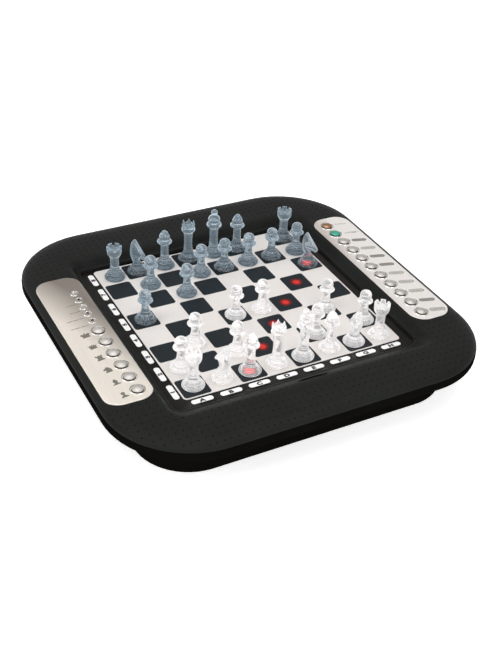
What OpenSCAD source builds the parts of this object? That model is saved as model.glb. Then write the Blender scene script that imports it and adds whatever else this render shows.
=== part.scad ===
// Electronic chess computer: a square table-top case with a sunken sensor board,
// two key panels, thirty-two chess men and the works inside.
// Millimetres. +X is the front player's right, +Y runs to the far side, +Z is up.
// The origin is the middle of the case, on the table.

/* [Board] */
// Side of one square
square = 22; // [21.5:0.25:22.25]
// Sideways shift of the board from the middle of the case
board_shift_x = 1.5; // [0:0.5:2]
// Shift of the board towards the far side
board_shift_y = 4.4; // [3.4:0.5:4.9]
// Height of the playing surface above the table
board_z = 33; // [32:0.5:34]

/* [Case] */
// Width of the case
case_x = 292; // [290:1:296]
// Depth of the case, front to back
case_y = 290; // [288:1:294]
// Corner radius of the case, seen from above
case_r = 64; // [60:1:68]
// Height of the deck around the board
deck_z = 42; // [41.5:0.25:43]
// Wall thickness of the two mouldings
wall = 2.4; // [2:0.2:2.6]
// Width of the tub under the rim
tub_x = 247; // [242:1:249]
// Depth of the tub, front to back
tub_y = 244; // [240:1:246]
// Corner radius of the tub
tub_r = 41; // [36:1:42]

/* [Keys] */
// Radius of a key cap
key_r = 4.4; // [4:0.1:4.6]
// Travel of a key
key_travel = 1.2; // [0.8:0.1:1.4]
// Distance between keys on the left panel
symbol_pitch = 14.8; // [14:0.2:15]
// Distance between keys on the right panel
function_pitch = 14.05; // [13.6:0.05:14.2]
// Distance between indicator lenses
lens_pitch = 9.8; // [9.4:0.1:10]

/* [Chess men] */
// Base radius of every man
base_r = 8.3; // [7.6:0.1:8.6]
// Height of a pawn
pawn_h = 26.8; // [26:0.2:28]
// Height of a rook
rook_h = 28.4; // [28:0.2:30]
// Height of a knight
knight_h = 28.6; // [28:0.2:30]
// Height of a bishop
bishop_h = 33; // [32:0.2:34]
// Height of a queen
queen_h = 35.2; // [35:0.2:37]
// Height of a king
king_h = 41.4; // [40:0.2:42]

/* [Hidden] */
$fn = 48;
clearance = 0.3;
fuse = 0.05;

// Case levels
floor_z = 0.8;
rim_z = 33;
skirt_z = 18;
skirt_overlap = 5;
seam_z = 24;

// Well around the board: opening at floor level, ledge and sloping walls
well_x = 98;
well_back = 95;
well_front = -93.2;
ledge_h = 2.6;
ledge_w = 2.8;
wall_run = 3;
ramp_run = 14;
ramp_step = 0.8;
dip_reach = 9;
dip_r = 29;
dip_w = 6.4;
dip_depth = 0.6;

// Board panel and circuit boards
panel_plate_t = 2.2;
rib_t = 2;
rib_h = 1.8;
pcb_t = 1.6;
main_pcb_top = board_z - panel_plate_t - rib_h;
main_pcb = [190, 184];
main_pcb_y = 1;
led_size = [3.2, 1.6, 1.2];
buzzer_at = [-55, -40];
buzzer_r = 10;
buzzer_h = 4;

// Key panels: [middle x, middle y, width, depth], metal sheet let into the deck
left_plate = [-122.6, -0.5, 35.6, 161.8];
right_plate = [122.6, 0, 33.2, 163.4];
plate_r = 12;
plate_t = 1.2;
plate_proud = 0.3;
bezel_w = 0.9;
bezel_h = 0.5;
fit_gap = 0.25;

// Keys and lenses
symbol_x = -115.5;
symbol_y = 3.5;
symbol_count = 6;
function_x = 116.2;
function_y = 69.1;
function_count = 11;
lens_x = -115.2;
lens_y = 56;
lens_count = 5;
lens_r = 2.2;
key_flange_r = 5.3;
key_flange_t = 1.2;
key_rise = 2.6;
key_stem_r = 2;
switch_size = [6, 6, 3.5];
plunger_r = 1.6;
plunger_h = 1;
key_pcb_w = 26;
key_post_r = 1.8;

// Screws and bosses
screw_spots = [[110, 97], [-110, 97], [110, -97], [-110, -97], [0, 113], [0, -113]];
boss_r = 5;
boss_top = 14;
seat_z = 10;
post_r = 4;
screw_r = 1.25;
screw_len = 13;
screw_head_r = 2.8;
screw_head_h = 2;
pilot_r = 1.3;
board_posts = [[80, 70], [-80, 70], [80, -70], [-80, -70], [0, -20], [60, 0], [-60, 0]];

// Feet, battery bay and sound slots
foot_spots = [[95, 95], [-95, 95], [95, -95], [-95, -95]];
foot_r = 8;
bay = [56, 46, 19];
bay_y = 60;
bay_wall = 1.6;
cell_r = 7.2;
cell_len = 50.2;
cell_shift = 1.9;
cell_pitch = 15;
cell_count = 3;
cell_z = floor_z + 2.4 + cell_r;
door = [53.4, 43.4];
door_t = 1.8;
door_hinge_r = 0.9;
slot_count = 5;

// Men of both sides: [name, kind, file, rank, heading, offset from the square's middle]
MEN = [
    ["white_rook_a", "rook", 0, 0, 0, [0.8, 1.1]],
    ["white_knight_b", "knight", 1, 0, 102, [0.9, 0.2]],
    ["white_bishop_c", "bishop", 2, 0, 300, [0.6, -0.1]],
    ["white_queen", "queen", 3, 0, 10, [-0.2, -0.3]],
    ["white_king", "king", 4, 0, 0, [-0.6, -0.6]],
    ["white_bishop_f", "bishop", 5, 0, 250, [0.2, 0.1]],
    ["white_knight_g", "knight", 6, 0, 85, [-1.1, -0.4]],
    ["white_rook_h", "rook", 7, 0, 20, [-1.3, -0.4]],
    ["white_pawn_a", "pawn", 0, 1, 0, [1.2, 0.9]],
    ["white_pawn_b", "pawn", 1, 2, 0, [0.5, 1.3]],
    ["white_pawn_c", "pawn", 2, 1, 0, [1.9, 1.6]],
    ["white_pawn_d", "pawn", 3, 3, 0, [0.2, -0.2]],
    ["white_pawn_e", "pawn", 4, 3, 0, [0.2, -1.0]],
    ["white_pawn_f", "pawn", 5, 1, 0, [-0.1, -2.3]],
    ["white_pawn_g", "pawn", 6, 2, 0, [2.0, 2.1]],
    ["white_pawn_h", "pawn", 7, 1, 0, [-1.5, -1.2]],
    ["black_rook_a", "rook", 0, 7, 15, [2.3, -2.1]],
    ["black_knight_b", "knight", 1, 7, 306, [-0.2, -1.4]],
    ["black_bishop_c", "bishop", 2, 7, 20, [1.3, -1.7]],
    ["black_queen", "queen", 3, 7, 0, [1.1, 0.3]],
    ["black_king", "king", 4, 7, 0, [1.7, -0.7]],
    ["black_bishop_f", "bishop", 5, 7, 200, [1.0, -1.0]],
    ["black_knight_g", "knight", 7, 5, 308, [0.2, -1.5]],
    ["black_rook_h", "rook", 7, 7, 30, [0.7, -2.0]],
    ["black_pawn_a", "pawn", 0, 4, 0, [1.3, -0.7]],
    ["black_pawn_b", "pawn", 1, 6, 0, [1.7, -2.0]],
    ["black_pawn_c", "pawn", 2, 5, 0, [0.9, -1.8]],
    ["black_pawn_d", "pawn", 3, 6, 0, [1.3, -2.2]],
    ["black_pawn_e", "pawn", 4, 6, 0, [0.4, -1.4]],
    ["black_pawn_f", "pawn", 5, 6, 0, [0.3, -1.4]],
    ["black_pawn_g", "pawn", 6, 6, 0, [-0.4, -1.6]],
    ["black_pawn_h", "pawn", 7, 6, 0, [0.8, -1.7]]
];

// Keys: [name, x, y, colour]
SYMBOLS = ["king", "queen", "rook", "knight", "bishop", "pawn"];
function symbol_key(k) = [str("key_", SYMBOLS[k]), symbol_x, symbol_y - symbol_pitch * k, "silver"];
function function_key(k) = [
    str("key_function_", k + 1),
    function_x,
    function_y - function_pitch * k,
    k == 0 ? "peru" : k == 1 ? "mediumseagreen" : "silver"
];
KEYS = [
    for (k = [0:symbol_count - 1]) symbol_key(k),
    for (k = [0:function_count - 1]) function_key(k)
];

// ---- shared shapes ----

// Rectangle with round corners, centred
module rounded_rect(x, y, r) {
    square([x - 2 * r, y], center = true);
    square([x, y - 2 * r], center = true);
    for (sx = [-1, 1], sy = [-1, 1])
        translate([sx * (x / 2 - r), sy * (y / 2 - r)])
            circle(r);
}

// Carries an upright outline, drawn outwards from the corner's centre, round a rectangle
module around_rect(x, y, r) {
    for (turn = [0:3]) {
        reach = (turn % 2 == 0 ? x : y) / 2 - r;
        side = (turn % 2 == 0 ? y : x) - 2 * r;
        rotate(90 * turn)
            translate([reach, 0, 0]) {
                rotate([90, 0, 0])
                    linear_extrude(side, center = true)
                        children();
                translate([0, side / 2, 0])
                    rotate_extrude(angle = 90)
                        children();
            }
    }
}

function ramp_height(reach) = board_z + ramp_step + reach / ramp_run * (deck_z - board_z - ramp_step);
function ramp_angle() = atan((deck_z - board_z - ramp_step) / ramp_run);

// Tapering hole of the well, grown outwards by a margin
module well_space(grow, low, high) {
    top = deck_z + fuse;
    ledge = board_z + ledge_h;
    intersection() {
        rotate([90, 0, 90])
            linear_extrude(2 * case_x, center = true)
                polygon([
                    [well_front - grow, low],
                    [well_back + grow, low],
                    [well_back + grow, ledge],
                    [well_back + ledge_w + grow, ledge],
                    [well_back + ledge_w + wall_run + grow, top],
                    [well_back + ledge_w + wall_run + grow, high],
                    [well_front - ramp_run - grow, high],
                    [well_front - ramp_run - grow, top],
                    [well_front - grow, board_z + ramp_step]
                ]);
        rotate([90, 0, 0])
            linear_extrude(2 * case_y, center = true)
                polygon([
                    [-well_x - grow, low],
                    [well_x + grow, low],
                    [well_x + grow, ledge],
                    [well_x + ledge_w + grow, ledge],
                    [well_x + ledge_w + wall_run + grow, top],
                    [well_x + ledge_w + wall_run + grow, high],
                    [-well_x - ledge_w - wall_run - grow, high],
                    [-well_x - ledge_w - wall_run - grow, top],
                    [-well_x - ledge_w - grow, ledge],
                    [-well_x - grow, ledge]
                ]);
    }
}

// ---- case ----

// Rounded shoulder, underside and inner skirt of the rim, measured from the corner's centre
module rim_outline() {
    skirt = case_r - (case_x - tub_x) / 2;
    polygon([
        [case_r - 18, deck_z],
        [case_r - 9, deck_z - 0.3],
        [case_r - 4.6, deck_z - 1.4],
        [case_r - 1.6, deck_z - 4.2],
        [case_r - 0.3, deck_z - 7],
        [case_r, rim_z],
        [case_r - 0.5, rim_z - 2],
        [case_r - 3.6, rim_z - 4.4],
        [case_r - 9, rim_z - 8],
        [skirt + clearance + wall, skirt_z],
        [skirt + clearance, skirt_z],
        [skirt + clearance, skirt_z + skirt_overlap],
        [case_r - 11, rim_z - 6],
        [case_r - 5.4, rim_z - 2.6],
        [case_r - wall, rim_z + 0.6],
        [case_r - wall - 0.8, deck_z - 5.6],
        [case_r - 6, deck_z - wall - 1.4],
        [case_r - 18, deck_z - wall]
    ]);
}

module plate_pocket(plate, low, grow) {
    translate([plate[0], plate[1], low])
        linear_extrude(deck_z)
            rounded_rect(plate[2] + 2 * grow, plate[3] + 2 * grow, plate_r + grow);
}

module upper_case() color([0.13, 0.14, 0.13]) {
    difference() {
        union() {
            around_rect(case_x, case_y, case_r)
                rim_outline();
            translate([0, 0, deck_z - wall])
                linear_extrude(wall)
                    rounded_rect(case_x - 35, case_y - 35, case_r - 17.5);
            intersection() {
                well_space(wall, board_z, deck_z - fuse);
                translate([0, 0, board_z])
                    linear_extrude(deck_z - board_z)
                        square([case_x - 40, case_y - 40], center = true);
            }
            for (spot = screw_spots)
                translate([spot[0], spot[1], boss_top])
                    cylinder(h = deck_z - wall / 2 - boss_top, r = post_r);
            for (y = [symbol_y + 6, symbol_y - 2.5 * symbol_pitch, symbol_y - 5.5 * symbol_pitch])
                translate([symbol_x - 9, y, key_pcb_top()])
                    cylinder(h = deck_z - wall / 2 - key_pcb_top(), r = key_post_r);
            for (k = [0.5, 4.5, 9.5])
                translate([function_x + 9, function_y - k * function_pitch, key_pcb_top()])
                    cylinder(h = deck_z - wall / 2 - key_pcb_top(), r = key_post_r);
        }
        well_space(0, board_z - 1, deck_z + 5);
        for (spot = screw_spots)
            translate([spot[0], spot[1], boss_top - 1])
                cylinder(h = 13, r = pilot_r);
        plate_pocket(left_plate, deck_z + plate_proud - plate_t, fit_gap);
        plate_pocket(right_plate, deck_z + plate_proud - plate_t, fit_gap);
        for (key = KEYS)
            translate([key[1], key[2], deck_z - 2 * wall])
                cylinder(h = 4 * wall, r = key_r + 2 * fit_gap);
        for (k = [0:lens_count - 1])
            translate([lens_x, lens_y - lens_pitch * k, deck_z - 2 * wall])
                cylinder(h = 4 * wall, r = lens_r + fit_gap);
        // Shallow lens-shaped dip in the ramp at the front of the well
        translate([board_shift_x, well_front - dip_reach, ramp_height(dip_reach) - dip_depth])
            rotate([-ramp_angle(), 0, 0])
                linear_extrude(3)
                    intersection_for (side = [-1, 1])
                        translate([0, side * (dip_r - dip_w / 2)])
                            circle(dip_r);
    }
}

module lower_case() color([0.09, 0.09, 0.09]) {
    difference() {
        union() {
            difference() {
                translate([0, 0, floor_z])
                    linear_extrude(seam_z - floor_z)
                        rounded_rect(tub_x, tub_y, tub_r);
                translate([0, 0, floor_z + wall])
                    linear_extrude(seam_z)
                        rounded_rect(tub_x - 2 * wall, tub_y - 2 * wall, tub_r - wall);
            }
            for (spot = foot_spots)
                translate([spot[0], spot[1], 0])
                    cylinder(h = floor_z + 1, r = foot_r);
            for (spot = screw_spots)
                translate([spot[0], spot[1], floor_z])
                    cylinder(h = boss_top - floor_z, r = boss_r);
            for (spot = board_posts)
                translate([spot[0], spot[1], floor_z + 1])
                    cylinder(h = main_pcb_top - pcb_t - floor_z - 1, r = 3);
            translate([-bay[0] / 2 - bay_wall, bay_y - bay[1] / 2 - bay_wall, floor_z])
                cube([bay[0] + 2 * bay_wall, bay[1] + 2 * bay_wall, bay[2] + bay_wall]);
        }
        for (spot = screw_spots) {
            translate([spot[0], spot[1], -1])
                cylinder(h = seat_z + 1, r = screw_head_r + 0.4);
            translate([spot[0], spot[1], -1])
                cylinder(h = boss_top + 2, r = screw_r + 0.3);
        }
        translate([-bay[0] / 2, bay_y - bay[1] / 2, floor_z + wall])
            cube([bay[0], bay[1], bay[2] - wall]);
        translate([-door[0] / 2 - clearance, bay_y - door[1] / 2 - clearance, -1])
            cube([door[0] + 2 * clearance, door[1] + 2 * clearance, 8]);
        for (k = [0:slot_count - 1])
            translate([buzzer_at[0] - 8, buzzer_at[1] + 4 * (k - (slot_count - 1) / 2) - 0.8, -1])
                cube([16, 1.6, 8]);
    }
}

// ---- panels and lenses ----

module bezel(r) {
    difference() {
        cylinder(h = plate_t + bezel_h, r = r + bezel_w);
        translate([0, 0, -1])
            cylinder(h = 6, r = r);
    }
}

module left_panel() color([0.78, 0.75, 0.70])
    translate([0, 0, deck_z + plate_proud - plate_t])
        difference() {
            union() {
                translate([left_plate[0], left_plate[1], 0])
                    linear_extrude(plate_t)
                        rounded_rect(left_plate[2], left_plate[3], plate_r);
                for (k = [0:symbol_count - 1])
                    translate([symbol_x, symbol_y - symbol_pitch * k, 0])
                        cylinder(h = plate_t + bezel_h, r = key_r + fit_gap + bezel_w);
                for (k = [0:lens_count - 1])
                    translate([lens_x, lens_y - lens_pitch * k, 0])
                        cylinder(h = plate_t + bezel_h, r = lens_r + fit_gap + bezel_w);
            }
            for (k = [0:symbol_count - 1])
                translate([symbol_x, symbol_y - symbol_pitch * k, -1])
                    cylinder(h = 6, r = key_r + fit_gap);
            for (k = [0:lens_count - 1])
                translate([lens_x, lens_y - lens_pitch * k, -1])
                    cylinder(h = 6, r = lens_r + fit_gap / 2);
        }

module right_panel() color([0.86, 0.84, 0.80])
    translate([0, 0, deck_z + plate_proud - plate_t])
        difference() {
            union() {
                translate([right_plate[0], right_plate[1], 0])
                    linear_extrude(plate_t)
                        rounded_rect(right_plate[2], right_plate[3], plate_r);
                for (k = [0:function_count - 1])
                    translate([function_x, function_y - function_pitch * k, 0])
                        cylinder(h = plate_t + bezel_h, r = key_r + fit_gap + bezel_w);
            }
            for (k = [0:function_count - 1])
                translate([function_x, function_y - function_pitch * k, -1])
                    cylinder(h = 6, r = key_r + fit_gap);
        }

// Domed lens with a foot that stops under the deck
module indicator_lenses() color([0.85, 0.85, 0.82, 0.8])
    for (k = [0:lens_count - 1])
        translate([lens_x, lens_y - lens_pitch * k, deck_z])
            rotate_extrude()
                polygon([
                    [0, -4],
                    [lens_r + 0.8, -4],
                    [lens_r + 0.8, -wall - 0.2],
                    [lens_r, -wall - 0.2],
                    [lens_r, plate_proud + 0.2],
                    [lens_r * 0.7, plate_proud + 0.8],
                    [0, plate_proud + 1.1]
                ]);

// ---- board ----

module board_panel() color([0.86, 0.84, 0.82]) {
    span = [2 * (well_x + 3), well_back - well_front + 6];
    mid_y = (well_back + well_front) / 2;
    translate([0, mid_y, board_z - panel_plate_t])
        linear_extrude(panel_plate_t)
            rounded_rect(span[0], span[1], 4);
    translate([0, main_pcb_y, main_pcb_top])
        linear_extrude(rib_h + fuse)
            difference() {
                square([main_pcb[0], main_pcb[1]], center = true);
                square([main_pcb[0] - 2 * rib_t, main_pcb[1] - 2 * rib_t], center = true);
            }
}

function key_pcb_top() = deck_z - wall - 0.2 - key_flange_t - key_travel - 0.2 - plunger_h - switch_size[2];

// Row of tact switches on their own small board
module key_pcb(x, y_first, pitch, count, mid_x) {
    low = key_pcb_top() - pcb_t;
    length = pitch * (count - 1) + 16;
    translate([mid_x - key_pcb_w / 2, y_first - pitch * (count - 1) - 8, low])
        cube([key_pcb_w, length, pcb_t]);
    for (k = [0:count - 1])
        translate([x, y_first - pitch * k, key_pcb_top() - fuse]) {
            translate([-switch_size[0] / 2, -switch_size[1] / 2, 0])
                cube([switch_size[0], switch_size[1], switch_size[2] + fuse]);
            cylinder(h = switch_size[2] + plunger_h + fuse, r = plunger_r);
        }
}

module circuit_boards() color([0.10, 0.35, 0.20]) {
    translate([-main_pcb[0] / 2, main_pcb_y - main_pcb[1] / 2, main_pcb_top - pcb_t])
        cube([main_pcb[0], main_pcb[1], pcb_t]);
    for (file = [0:7], rank = [0:7])
        translate([square_x(file), square_y(rank), main_pcb_top + led_size[2] / 2 - fuse])
            cube([led_size[0], led_size[1], led_size[2]], center = true);
    translate([20, -60, main_pcb_top - pcb_t - 2])
        cube([14, 10, 2 + fuse]);
    translate([buzzer_at[0], buzzer_at[1], main_pcb_top - pcb_t - buzzer_h])
        cylinder(h = buzzer_h + fuse, r = buzzer_r);
    key_pcb(symbol_x, symbol_y, symbol_pitch, symbol_count, symbol_x - 1);
    key_pcb(function_x, function_y, function_pitch, function_count, function_x + 1);
    // Lamp board under the lenses
    translate([lens_x - 6, lens_y - lens_pitch * (lens_count - 1) - 5, key_pcb_top() - pcb_t]) {
        cube([12, lens_pitch * (lens_count - 1) + 10, pcb_t]);
        for (k = [0:lens_count - 1])
            translate([4.4, 4.2 + lens_pitch * k, pcb_t - fuse])
                cube([led_size[0], led_size[1], led_size[2]]);
    }
}

// ---- power ----

module battery_door() color([0.09, 0.09, 0.09]) {
    hinge_y = bay_y - door[1] / 2 + door_hinge_r;
    translate([-door[0] / 2, hinge_y, floor_z])
        cube([door[0], door[1] - door_hinge_r, door_t]);
    translate([-door[0] / 2, hinge_y, floor_z + door_hinge_r])
        rotate([0, 90, 0])
            cylinder(h = door[0], r = door_hinge_r);
}

module batteries() color([0.25, 0.45, 0.30])
    for (k = [0:cell_count - 1]) {
        y = bay_y + cell_pitch * (k - (cell_count - 1) / 2);
        way = k % 2 == 0 ? 1 : -1;
        translate([way * (cell_shift - cell_len / 2), y, cell_z])
            rotate([0, way * 90, 0]) {
                cylinder(h = cell_len - 1, r = cell_r);
                cylinder(h = cell_len, r = 2.7);
            }
    }

// Flat plates for the plus ends and stacked spring rings for the minus ends
module battery_contacts() color([0.8, 0.8, 0.82])
    for (k = [0:cell_count - 1]) {
        y = bay_y + cell_pitch * (k - (cell_count - 1) / 2);
        way = k % 2 == 0 ? 1 : -1;
        for (end = [-1, 1])
            translate([end * (bay[0] / 2 - 0.25), y, cell_z])
                cube([0.5, 11, 11], center = true);
        translate([-way * (bay[0] / 2 - 0.5), y, cell_z])
            rotate([0, way * 90, 0])
                for (ring = [0:4])
                    translate([0, 0, 0.4 + 0.8 * ring])
                        rotate_extrude()
                            translate([4.6 - 0.4 * ring, 0])
                                circle(0.5);
    }

module screws() color([0.7, 0.7, 0.72])
    for (spot = screw_spots)
        translate([spot[0], spot[1], seat_z])
            difference() {
                union() {
                    cylinder(h = screw_len, r = screw_r);
                    translate([0, 0, -screw_head_h])
                        cylinder(h = screw_head_h, r = screw_head_r);
                }
                for (turn = [0, 90])
                    rotate(turn)
                        translate([-1.7, -0.35, -screw_head_h - 1])
                            cube([3.4, 0.7, 2]);
            }

// ---- keys ----

// Domed cap on a flange that stops under the deck, with a stem over its switch
module key_cap(key) color(key[3]) {
    flange_top = -wall - 0.2;
    stem_low = flange_top - key_flange_t - 0.1;
    translate([key[1], key[2], deck_z])
        rotate_extrude()
            polygon([
                [0, stem_low],
                [key_stem_r, stem_low],
                [key_stem_r, flange_top - key_flange_t],
                [key_flange_r, flange_top - key_flange_t],
                [key_flange_r, flange_top],
                [key_r, flange_top],
                [key_r, plate_proud + 0.6],
                [key_r * 0.94, plate_proud + 1.1],
                [key_r * 0.78, plate_proud + 1.7],
                [key_r * 0.52, plate_proud + 2.25],
                [key_r * 0.25, key_rise + 0.05],
                [0, key_rise + 0.15]
            ]);
}

// ---- chess men ----

function square_x(file) = board_shift_x + square * (file - 3.5);
function square_y(rank) = board_shift_y + square * (rank - 3.5);

// Foot shared by every man, as [radius, height] points from the edge to the stem
function foot_points() = [
    [0, 0],
    [base_r - 0.8, 0],
    [base_r, 0.8],
    [base_r, 1.5],
    [base_r - 1, 2.5],
    [base_r - 2.3, 4.6],
    [base_r - 2.7, 5.6],
    [base_r - 4, 6.5]
];

module turned(points)
    rotate_extrude()
        polygon(concat(foot_points(), points));

module pawn() {
    h = pawn_h;
    turned([
        [3.6, 8], [2.9, 12], [3.1, h - 11], [3.5, h - 10.2],
        [5.2, h - 9.5], [5.8, h - 8.7], [5.3, h - 7.8], [3.9, h - 7],
        [4.5, h - 4.9], [4.2, h - 2.5], [3.2, h - 0.9], [1.6, h - 0.1], [0, h]
    ]);
}

module rook() {
    h = rook_h;
    difference() {
        turned([
            [3.7, 10], [3.45, h - 12], [3.9, h - 9.2], [5.3, h - 6.5],
            [5.9, h - 4.5], [6.05, h], [4.3, h], [4, h - 2.8], [0, h - 3.2]
        ]);
        for (turn = [0:60:120])
            rotate(turn)
                translate([-8, -1.1, h - 2.2])
                    cube([16, 2.2, 3]);
    }
}

module bishop() {
    h = bishop_h;
    difference() {
        turned([
            [3.4, 10], [3.15, 15], [3.4, h - 12.6], [3.9, h - 11.6],
            [5.5, h - 10.8], [5.95, h - 10], [5.4, h - 9], [4.2, h - 8],
            [4.4, h - 6.4], [3.5, h - 3.7], [2, h - 1.3], [0.8, h - 0.1], [0, h]
        ]);
        translate([1.4, -5.4, h - 6])
            rotate([0, -35, 0])
                cube([0.8, 10.8, 8]);
    }
}

module queen() {
    h = queen_h;
    difference() {
        turned([
            [3.7, 10], [3.3, 17], [3.7, h - 12], [4.4, h - 9],
            [5.3, h - 7.5], [5.5, h - 6.4], [5, h - 5.2], [5.4, h],
            [4.4, h], [3.3, h - 4], [0, h - 4.4]
        ]);
        for (turn = [0:60:300])
            rotate(turn)
                translate([0, 0, h - 2.6])
                    rotate([0, 90, 0])
                        rotate(135)
                            cube([6, 6, 8]);
    }
}

module king() {
    h = king_h;
    turned([
        [3.7, 10], [3.35, 19], [3.7, h - 18], [4.4, h - 15.5],
        [5.9, h - 14.1], [6.2, h - 13.2], [5.5, h - 11.9], [4.5, h - 11.1],
        [4.8, h - 9], [4.2, h - 6.6], [2.7, h - 5.3], [1.8, h - 4.7],
        [2.6, h - 3.3], [2.5, h - 1.5], [1.4, h - 0.3], [0, h]
    ]);
}

// Slab-sided horse's head that looks along its own +X
module knight() {
    h = knight_h;
    rotate_extrude()
        polygon(concat(foot_points(), [[3.8, 8.4], [0, 8.4]]));
    rotate([90, 0, 0])
        linear_extrude(5.6, center = true)
            polygon([
                [-2.4, 7.8], [-3, 9.6], [-4.6, 12.8], [-5.6, 17], [-5.5, 21], [-4.6, h - 2.8],
                [-3.2, h - 0.2], [-2.1, h], [-0.3, h - 2.6], [3.7, h - 8.2], [7, h - 12.6],
                [7.7, h - 14], [6.8, h - 15.2], [4, h - 14.4], [2.2, h - 14], [1.5, 11.8],
                [1.9, 9.6], [2.5, 7.8]
            ]);
}

module chess_man(man) {
    tone = len(search("w", man[0][0])) > 0 ? [0.93, 0.93, 0.94, 0.7] : [0.42, 0.49, 0.56, 0.8];
    color(tone)
        translate([square_x(man[2]) + man[5][0], square_y(man[3]) + man[5][1], board_z])
            rotate(man[4]) {
                if (man[1] == "pawn") pawn();
                if (man[1] == "rook") rook();
                if (man[1] == "knight") knight();
                if (man[1] == "bishop") bishop();
                if (man[1] == "queen") queen();
                if (man[1] == "king") king();
            }
}

upper_case();
lower_case();
left_panel();
right_panel();
board_panel();
circuit_boards();
indicator_lenses();
battery_door();
batteries();
battery_contacts();
screws();
for (key = KEYS) key_cap(key);
for (man = MEN) chess_man(man);
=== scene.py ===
"""Looks of the electronic chess computer: case, key panels, board and chess men.

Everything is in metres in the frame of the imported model. Outlines are given in
millimetres and turned into metres by MM.
"""

import math

import bmesh
import bpy
from mathutils import Matrix, Vector
from mathutils.geometry import tessellate_polygon


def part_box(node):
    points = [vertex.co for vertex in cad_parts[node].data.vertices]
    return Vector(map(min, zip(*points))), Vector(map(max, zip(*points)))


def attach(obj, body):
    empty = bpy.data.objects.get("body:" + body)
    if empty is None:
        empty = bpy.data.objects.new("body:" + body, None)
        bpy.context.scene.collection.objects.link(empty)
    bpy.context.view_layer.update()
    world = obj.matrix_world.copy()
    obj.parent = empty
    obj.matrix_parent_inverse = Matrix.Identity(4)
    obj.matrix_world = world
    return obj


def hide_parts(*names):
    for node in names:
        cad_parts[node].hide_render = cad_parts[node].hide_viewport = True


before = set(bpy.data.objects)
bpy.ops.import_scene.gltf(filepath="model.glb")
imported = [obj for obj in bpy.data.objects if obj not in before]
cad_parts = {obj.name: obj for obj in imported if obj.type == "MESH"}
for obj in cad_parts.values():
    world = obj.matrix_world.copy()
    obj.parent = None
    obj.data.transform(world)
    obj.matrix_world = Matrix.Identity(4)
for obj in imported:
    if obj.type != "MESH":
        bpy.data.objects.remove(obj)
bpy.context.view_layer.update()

MM = 0.001
SQUARE = 22.0
BODY = "case"


def box_mm(node):
    """Lowest and highest corner of a CAD node, in millimetres."""
    low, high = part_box(node)
    return [c / MM for c in low], [c / MM for c in high]


CASE_LOW, CASE_HIGH = box_mm("upper_case")
DECK_Z = CASE_HIGH[2]
BOARD_LOW, BOARD_HIGH = box_mm("board_panel")
BOARD_Z = BOARD_HIGH[2]
BOARD_SHIFT_X = 1.5
BOARD_SHIFT_Y = 4.4
BOARD_X0 = BOARD_SHIFT_X - 4 * SQUARE
BOARD_Y0 = BOARD_SHIFT_Y - 4 * SQUARE
BOARD_X1 = BOARD_X0 + 8 * SQUARE
BOARD_Y1 = BOARD_Y0 + 8 * SQUARE
WELL_X = BOARD_HIGH[0] - 3
WELL_BACK = BOARD_HIGH[1] - 3
WELL_FRONT = BOARD_LOW[1] + 3


# ---- camera

def make_camera():
    """Camera in front of the near left corner, looking down at the board."""
    at = Vector((-0.3191, -0.5849, 0.4858))
    forward = Vector((0.3968, 0.7093, -0.5826)).normalized()
    right = Vector((0.8869, -0.4598, 0.0443)).normalized()
    up = right.cross(forward).normalized()
    right = forward.cross(up).normalized()
    data = bpy.data.cameras.new("camera")
    data.sensor_width = 36
    data.lens = 56.29
    data.clip_start = 0.01
    data.clip_end = 20
    camera = new_object("camera", data)
    turn = Matrix((right, up, -forward)).transposed().to_4x4()
    camera.matrix_world = Matrix.Translation(at) @ turn
    bpy.context.scene.camera = camera


# ---- node helpers

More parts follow.
